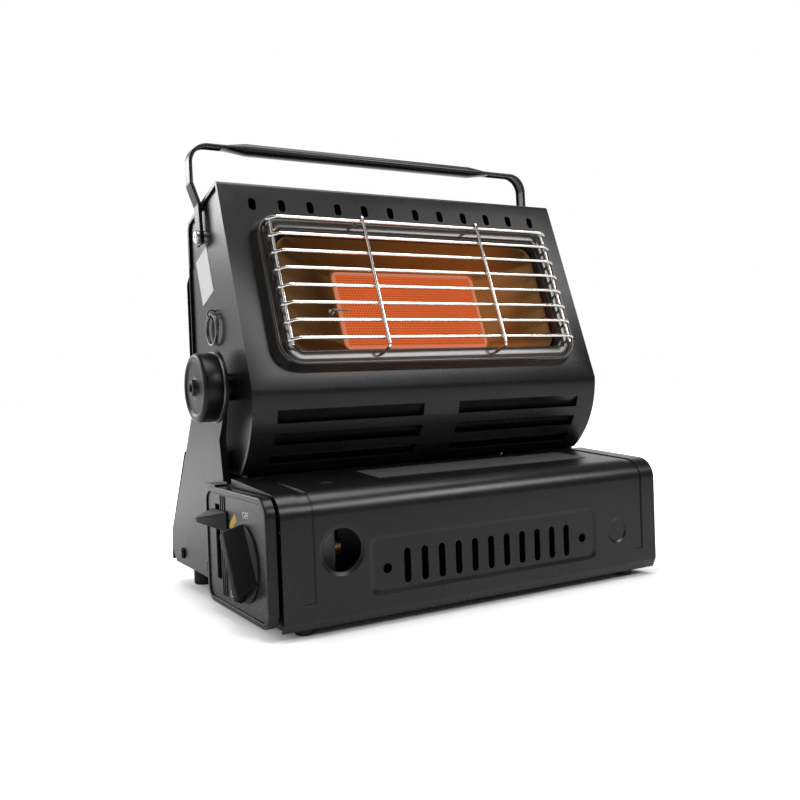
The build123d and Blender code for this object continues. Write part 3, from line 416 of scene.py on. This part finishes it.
bmesh.ops.bevel(bm, geom=bm.edges[:], offset=0.0011, segments=3, profile=0.5, affect="EDGES", material=-1)
bmesh.ops.transform(bm, matrix=Matrix.Rotation(math.radians(-31), 4, "X"), verts=bm.verts)
bmesh.ops.translate(bm, vec=(0, dial_y / 1000, dial_z / 1000), verts=bm.verts)
spun(bm, skirt, dial_y / 1000, dial_z / 1000, -1)
soften(bm, 40)
new_piece("dial", bm, dial_plastic, "gas_knob")


# ---- Cartridge cover ----
# The hinged lid over the cartridge: one pressing with a rounded front, a vented recessed panel, a sight hole
# and a groove near each end, powder coated like the rest. Its top carries a blank data plate.
refine("cartridge_cover", black_coat, 0.0003, 13)


def label_stock(name, colour, shaded):
    """Printed label sheet with nothing on it: faint fibre and a little fading."""
    sticker = Finish(name, Specular_IOR_Level=0.35)
    fibre, fade = sticker.noise(1600, 3), sticker.noise(25, 3)
    sticker.shade(Base_Color=sticker.blend(fade, colour, shaded), Roughness=0.4 + 0.2 * fibre)
    sticker.relief(fibre, 0.00001, 0.3)
    return sticker


paint(label_stock("grey_label", (0.04, 0.041, 0.042), (0.06, 0.061, 0.061)), "cover_label")


# ---- Burner head ----
# The wrapped head: front, top and louvred lower arc in one sheet, end plates set in behind its turned-in
# rims, a slotted back and a shield that stands off it, all in the same satin black powder coat.
for sheet_piece in ("head_shell", "side_plate_right", "side_plate_left", "rear_panel", "rear_shield"):
    refine(sheet_piece, black_coat)
paint(label_stock("pale_label", (0.62, 0.62, 0.6), (0.76, 0.76, 0.74)), "side_label")


# ---- Burner ----
# A honeycomb ceramic tile that glows orange, bedded in white fibre in a steel box, in a tapered dish of
# heat-dulled dark enamel, with a spark electrode and a thermocouple beside it.
lean_angle = math.radians(20.16)
head_pivot = (0, -0.0067, 0.1434)
head_place = Matrix.Translation(head_pivot) @ Matrix.Rotation(-lean_angle, 4, "X")
tile_half, tile_low, tile_high = 0.05828, 0.01338, 0.07138


def head_frame(finish):
    """The finish's coordinates turned upright about the head's pivot, as X, Y and Z."""
    upright = finish.add("ShaderNodeMapping", {"vector_type": "TEXTURE"},
                         {"Vector": finish.place, "Location": head_pivot, "Rotation": (-lean_angle, 0, 0)})
    parts = finish.add("ShaderNodeSeparateXYZ", {}, {"Vector": upright})
    outputs = parts.socket.node.outputs
    return [Wire(finish, outputs[axis]) for axis in "XYZ"]


tile = Finish("burner_ceramic", Specular_IOR_Level=0.2, Emission_Strength=1.0)
across, _, up = head_frame(tile)
cell, row_ratio = 0.0022, 1.732


def hexagons(x, y):
    """Distance from the nearest cell centre of one square lattice of a hexagonal pair."""
    cell_x = (x / cell).maths("FRACT", x / cell + 500.0) - 0.5
    cell_y = (y / (cell * row_ratio)).maths("FRACT", y / (cell * row_ratio) + 500.0) - 0.5
    return cell_x.maths("SQRT", cell_x * cell_x + 3.0 * cell_y * cell_y)


hole = hexagons(across, up).least(hexagons(across + cell / 2, up + cell * row_ratio / 2))
wall = tile.ramp(hole, 0.3, 0.42)
edge_gap = (tile_half - abs(across)).least((tile_high - up).least(up - tile_low))
field = tile.ramp(edge_gap, 0.0022, 0.0032)
warmth = tile.noise(38, 3)
glow = tile.blend(warmth, (0.6, 0.092, 0.011), (0.74, 0.14, 0.022))
pit = tile.blend(warmth, (0.3, 0.022, 0.001), (0.42, 0.05, 0.003))
lattice = tile.blend(wall, pit, glow)
rim_glow = (0.5, 0.14, 0.065)
surface = tile.blend(field, rim_glow, lattice)
tile.shade(Base_Color=tile.blend(field, (0.09, 0.06, 0.045), (0.05, 0.02, 0.01)),
           Roughness=0.75 + 0.15 * warmth, Emission_Color=surface)
tile.relief(wall * field, 0.0004, 0.5)
refine("ceramic_plaque", tile, 0.0005)

dish = Finish("dark_dish", Metallic=1.0, Emission_Strength=1.0)
across, _, up = head_frame(dish)
near_x = (abs(across) - tile_half).most(0.0)
near_z = (up - tile_high).most((tile_low - up).most(0.0))
reach = near_x.maths("SQRT", near_x * near_x + near_z * near_z)
# Painted reflection: an orange glow painted on the dish close to the tile, stronger towards one side, stands
# for the tile's light reflected in it.
painted_tile_reflection = dish.ramp(reach, 0.05, -0.004) * (0.12 + 0.88 * dish.ramp(across + 0.6 * up, -0.045, 0.12))
mottle = dish.noise(30, 4)
dish_painted_reflection = dish.blend(painted_tile_reflection * (0.75 + 0.25 * mottle), (0.001, 0.0004, 0.0001), (0.17, 0.04, 0.004))
dish.shade(Base_Color=dish.blend(mottle, (0.036, 0.018, 0.006), (0.062, 0.031, 0.012)),
           Roughness=0.34 + 0.16 * mottle, Emission_Color=dish_painted_reflection)
dish.relief(dish.noise(240, 3), 0.00006, 0.3)
refine("reflector", dish, 0.0)

gasket = Finish("gasket_fibre")
fluff = gasket.noise(1400, 5)
gasket.shade(Base_Color=gasket.blend(fluff, (0.5, 0.44, 0.38), (0.72, 0.67, 0.6)),
             Roughness=0.85 + 0.1 * fluff)
gasket.relief(fluff, 0.0002, 0.8)
paint(gasket, "plaque_gasket")
glaze = Finish("electrode_ceramic", Specular_IOR_Level=0.5)
soot = glaze.noise(220, 4)
glaze.shade(Base_Color=glaze.blend(soot, (0.12, 0.09, 0.07), (0.3, 0.25, 0.2)), Roughness=0.22 + 0.2 * soot)
glaze.relief(soot, 0.00002, 0.4)
refine("ignition_electrode", glaze, 0.0)


# ---- Window frame ----
# A pressed steel frame clipped over the window's edge: a sloping skirt with a rolled bead, a groove, then a
# flat lip that turns back into the dish. It is enamelled gloss black, and the warm glow on it near the window
# is a painted reflection of the tile.
def rounded_face(bm, half_x, low, high, radius, y):
    """A rounded rectangle facing the front, in the head's own frame."""
    outline = ((-half_x, low), (half_x, low), (half_x, high), (-half_x, high))
    corners = [bm.verts.new((x, y, z)) for x, z in outline]
    bm.faces.new(corners)
    bmesh.ops.bevel(bm, geom=corners, offset=radius, segments=10, profile=0.5, affect="VERTICES", material=-1)
    bm.faces.ensure_lookup_table()
    return bm.faces[-1]


enamel = Finish("gloss_enamel", Specular_IOR_Level=0.5, Emission_Strength=1.0)
across, _, up = head_frame(enamel)
ripple, tint = enamel.noise(130, 2), enamel.noise(20, 3)
# Painted reflection: a faint warm glow painted on the frame near the window stands for the tile's light
# reflected in the enamel.
near_x = (abs(across) - 0.07).most(0.0)
near_z = (up - 0.085).most((0.006 - up).most(0.0))
frame_painted_reflection = enamel.ramp(near_x.maths("SQRT", near_x * near_x + near_z * near_z), 0.045, 0.0)
enamel.shade(Base_Color=enamel.blend(tint, (0.010, 0.0095, 0.009), (0.018, 0.016, 0.014)),
             Roughness=0.12 + 0.12 * tint,
             Emission_Color=enamel.blend(frame_painted_reflection, (0.0, 0.0, 0.0), (0.012, 0.004, 0.0015)))
enamel.relief(ripple, 0.00008, 0.3)
bm = bmesh.new()
top = rounded_face(bm, 0.120, -0.0084, 0.10126, 0.018, -0.04264)
profile = ((0.0021, 0.0064), (0.0003, 0.0012), (0.0005, 0.0008), (0.0007, 0.0003), (0.0007, -0.0003),
           (0.0005, -0.0007), (0.0006, -0.0002), (0.0005, 0.0004), (0.0004, 0.0001), (0.0048, 0.0))
for inward, forward in profile:
    bmesh.ops.inset_region(bm, faces=[top], thickness=inward, depth=forward, use_even_offset=True,
                           use_boundary=True)
lip = ((0.1062, 0.0036, 0.0885, -0.0004), (0.1053, 0.0045, 0.0876, -0.0014), (0.105, 0.00477, 0.0873, -0.009))
for half_x, low, high, forward in lip:
    bmesh.ops.inset_region(bm, faces=[top], thickness=0.0001, depth=0.0, use_even_offset=True)
    xs = [v.co.x for v in top.verts]
    zs = [v.co.z for v in top.verts]
    middle = Vector(((min(xs) + max(xs)) / 2, top.verts[0].co.y, (min(zs) + max(zs)) / 2))
    stretch = (2 * half_x / (max(xs) - min(xs)), 1, (high - low) / (max(zs) - min(zs)))
    bmesh.ops.scale(bm, vec=stretch, space=Matrix.Translation(-middle), verts=list(top.verts))
    bmesh.ops.translate(bm, vec=(0, -forward, (low + high) / 2 - middle.z), verts=list(top.verts))
bmesh.ops.delete(bm, geom=[top], context="FACES_ONLY")
bmesh.ops.recalc_face_normals(bm, faces=bm.faces)
if sum(face.normal.y * face.calc_area() for face in bm.faces) > 0:
    bmesh.ops.reverse_faces(bm, faces=bm.faces)
soften(bm, 50)
bmesh.ops.transform(bm, matrix=head_place, verts=bm.verts)
rim = new_piece("window_frame", bm, enamel, "rim_frame")
wall_thickness = rim.modifiers.new("sheet", "SOLIDIFY")
wall_thickness.thickness, wall_thickness.offset = 0.0008, -1


# ---- Wire guard ----
# Bright chromed 2.2 mm steel wires, resistance welded where they cross: eight cross wires, their ends turned
# back on to the frame, an upright rod inside each row of ends and two hooked bars in front.
chrome = Finish("chrome_wire", Metallic=1.0)
bloom = chrome.noise(45, 2)
chrome.shade(Base_Color=chrome.blend(bloom, (0.76, 0.73, 0.69), (0.88, 0.86, 0.83)),
             Roughness=0.14 + 0.08 * bloom)
chrome.relief(bloom, 0.00001, 0.2)
for wires in ("grill_cross_wires", "grill_end_rods", "grill_front_bars"):
    refine(wires, chrome, 0.0)


# ---- Tilt knobs ----
# Black moulded clamp knobs, dished round a raised centre, each on a zinc stud that screws into the head.
# Each is one profile spun about the axis that the head tilts on.
knob_back = ((145.2, 4.1), (144.9, 4.6), (144.9, 21.2), (145.2, 21.8), (145.9, 22.0))
knob_rim = ((154.6, 22.0), (155.7, 21.7), (156.5, 21.0), (157.0, 20.0), (157.15, 19.0), (157.0, 18.2),
            (156.6, 17.5), (156.1, 17.0), (155.9, 16.2))
knob_hub = ((156.0, 12.0), (156.2, 8.0), (156.3, 6.4), (156.7, 5.6), (157.6, 5.1), (158.6, 4.9),
            (159.0, 4.3), (159.1, 3.4), (158.9, 2.8), (158.0, 2.5), (157.6, 0.0))
for side, hand in ((-1, "left"), (1, "right")):
    bm = bmesh.new()
    spun(bm, knob_back + knob_rim + knob_hub, head_pivot[1], head_pivot[2], side)
    soften(bm, 60)
    new_piece("clamp_knob_" + hand, bm, knob_plastic, "tilt_knob_" + hand)


# ---- Handle ----
# A pressed channel strap with a rounded grip, black powder coated, that swings on two zinc screws. A cross
# recess is cut into each screw's head, and the cutter is removed.
refine("carry_handle", black_coat, 0.0004)
screws = refine("handle_screws", zinc, 0.0)
low_corner, high_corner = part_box("handle_screws")
screw_y, screw_z = (low_corner.y + high_corner.y) / 2, (low_corner.z + high_corner.z) / 2
slot_size, first_turn = (0.0024, 0.0009, 0.0046), 0.3
bm = bmesh.new()
for face_x in (low_corner.x, high_corner.x):
    for turn in (first_turn, first_turn + math.pi / 2):
        place = Matrix.Translation((face_x, screw_y, screw_z)) @ Matrix.Rotation(turn, 4, "X")
        bmesh.ops.create_cube(bm, size=1.0, matrix=place @ Matrix.Diagonal((*slot_size, 1)))
cross = bpy.data.objects.new("cross", bpy.data.meshes.new("cross"))
bm.to_mesh(cross.data)
bm.free()
bpy.context.scene.collection.objects.link(cross)
recess = screws.modifiers.new("cross recess", "BOOLEAN")
recess.object, recess.operation, recess.solver, recess.use_self = cross, "DIFFERENCE", "EXACT", True
bpy.context.view_layer.update()
cut = bpy.data.meshes.new_from_object(screws.evaluated_get(bpy.context.evaluated_depsgraph_get()))
screws.modifiers.clear()
screws.data = cut
bpy.data.objects.remove(cross)


# ---- Hanging ring ----
# A double-wound split ring of zinc-plated spring wire through a wire staple on the left end plate. The wire's
# circle is spun nearly twice round while it shifts sideways, so the two turns lie side by side and merge.
low_corner, high_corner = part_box("pull_ring")
middle = (low_corner + high_corner) / 2
wire_radius, coil_radius, coil_shift, coil_steps = 0.00075, 0.0104, 0.0018, 96
start = Matrix.Translation(middle + Vector((-coil_shift / 2, 0, coil_radius)))
bm = bmesh.new()
bmesh.ops.create_circle(bm, cap_ends=False, segments=12, radius=wire_radius,
                        matrix=start @ Matrix.Rotation(math.pi / 2, 4, "X"))
bmesh.ops.spin(bm, geom=bm.verts[:] + bm.edges[:], cent=middle, axis=(1, 0, 0),
               dvec=(coil_shift / coil_steps, 0, 0), angle=math.radians(700), steps=coil_steps)
bmesh.ops.holes_fill(bm, edges=[edge for edge in bm.edges if edge.is_boundary], sides=0)
bmesh.ops.recalc_face_normals(bm, faces=bm.faces)
soften(bm, 60)
new_piece("split_ring", bm, dull_zinc, "pull_ring")
refine("ring_eyelet", dull_zinc, 0.0)


# ---- Floor, light and camera ----
# A pale studio table under one broad overhead light, with softer ones from the left, the front and behind.
# The table glows for the camera, so that it looks white, except in a patch round the heater's footprint set
# toward its front and right: a painted shadow that deepens the real one.
floor_bm = bmesh.new()
bmesh.ops.create_circle(floor_bm, cap_ends=True, cap_tris=False, segments=96, radius=9.0)
floor_mesh = bpy.data.meshes.new("floor")
floor_bm.to_mesh(floor_mesh)
floor_bm.free()
floor = bpy.data.objects.new("floor", floor_mesh)
bpy.context.scene.collection.objects.link(floor)
paper = Finish("pale_floor", Specular_IOR_Level=0.1, Roughness=0.9, Emission_Strength=1.0)
mottle = paper.noise(3, 2)
away = paper.add("ShaderNodeVectorMath", {"operation": "LENGTH"}, {0: paper.place}, "Value")
spot = paper.add("ShaderNodeSeparateXYZ", {}, {"Vector": paper.place}).socket.node.outputs
# Painted shadow: the table's glow fades out toward this rectangle round the heater, shifted toward its front
# and right, so the table stays dark there.
shade_x, shade_half_x, shade_y, shade_half_y = 0.018, 0.132, -0.026, 0.09
beside = (abs(Wire(paper, spot["X"]) - shade_x) - shade_half_x).most(0.0)
before = (abs(Wire(paper, spot["Y"]) - shade_y) - shade_half_y).most(0.0)
outside_painted_shadow = paper.ramp(beside.maths("SQRT", beside * beside + before * before), 0.002, 0.055)
camera_ray = paper.add("ShaderNodeLightPath", {}, {}, "Is Camera Ray")
ray_kinds = camera_ray.socket.node.outputs
glossy_ray, clear_ray = (Wire(paper, ray_kinds[kind]) for kind in ("Is Glossy Ray", "Is Transmission Ray"))
behind = paper.ramp(Wire(paper, spot["Y"]), 0.1, 0.5)
shown = camera_ray.most(behind * glossy_ray.most(clear_ray))
lift = shown * outside_painted_shadow * (0.62 + paper.ramp(away, 0.35, 1.1))
paper.shade(Base_Color=paper.blend(mottle, (0.79, 0.79, 0.79), (0.8, 0.8, 0.8)),
            Emission_Color=paper.blend(lift, (0, 0, 0), (1, 1, 1)))
floor_mesh.materials.append(paper.material)

world = bpy.data.worlds.new("studio")
bpy.context.scene.world = world
world.use_nodes = True
studio = Shading(world.node_tree)
camera_ray = studio.add("ShaderNodeLightPath", {}, {}, "Is Camera Ray")
seen = camera_ray.most(Wire(studio, camera_ray.socket.node.outputs["Is Transmission Ray"]))
glossy_ray = Wire(studio, camera_ray.socket.node.outputs["Is Glossy Ray"])
direction = studio.add("ShaderNodeTexCoord", {}, {}, "Generated")
axes = studio.add("ShaderNodeSeparateXYZ", {}, {"Vector": direction}).socket.node.outputs
backdrop = studio.ramp(Wire(studio, axes["Y"]), 0.1, 0.6) * studio.ramp(Wire(studio, axes["Z"]), 0.75, 0.45)
room = 0.05 + 0.95 * backdrop
strength = seen.most(glossy_ray * room + (1 - glossy_ray) * 0.3)
background = world.node_tree.nodes["Background"]
background.inputs["Color"].default_value = (1, 1, 1, 1)
studio.join(background.inputs["Strength"], strength)


def softbox(name, place, target, size, power):
    light = bpy.data.lights.new(name, "AREA")
    light.shape, light.size, light.size_y, light.energy = "RECTANGLE", size[0], size[1], power
    lamp = bpy.data.objects.new(name, light)
    bpy.context.scene.collection.objects.link(lamp)
    lamp.location = place
    lamp.rotation_euler = (Vector(target) - Vector(place)).to_track_quat("-Z", "Y").to_euler()


softbox("overhead", (0.1, -0.15, 1.4), (0, 0, 0.1), (1.3, 0.9), 20)
softbox("left_fill", (-1.4, -0.3, 0.75), (0, 0, 0.12), (0.8, 0.9), 2.6)
softbox("front_fill", (0.79, -1.16, 1.04), (0, -0.08, 0.17), (0.8, 0.45), 15)
softbox("rear_fill", (-1.0, 1.8, 0.86), (-0.1, 0, 0.25), (1.0, 0.55), 12.0)

camera_place, lens = (-0.33456, -0.56792, 0.14455), 40.93
yaw, pitch, roll = math.radians(30.29), math.radians(1.331), math.radians(-2.074)
forward = Vector((math.sin(yaw) * math.cos(pitch), math.cos(yaw) * math.cos(pitch), -math.sin(pitch)))
level_right = Vector((math.cos(yaw), -math.sin(yaw), 0))
level_up = level_right.cross(forward)
right = level_right * math.cos(roll) + level_up * math.sin(roll)
upward = level_up * math.cos(roll) - level_right * math.sin(roll)
camera = bpy.data.objects.new("camera", bpy.data.cameras.new("camera"))
camera.data.lens, camera.data.sensor_width = lens, 36.0
turn = Matrix((right, upward, -forward)).transposed().to_4x4()
camera.matrix_world = Matrix.Translation(camera_place) @ turn
bpy.context.scene.collection.objects.link(camera)
bpy.context.scene.camera = camera
bpy.context.scene.view_settings.view_transform = "Standard"
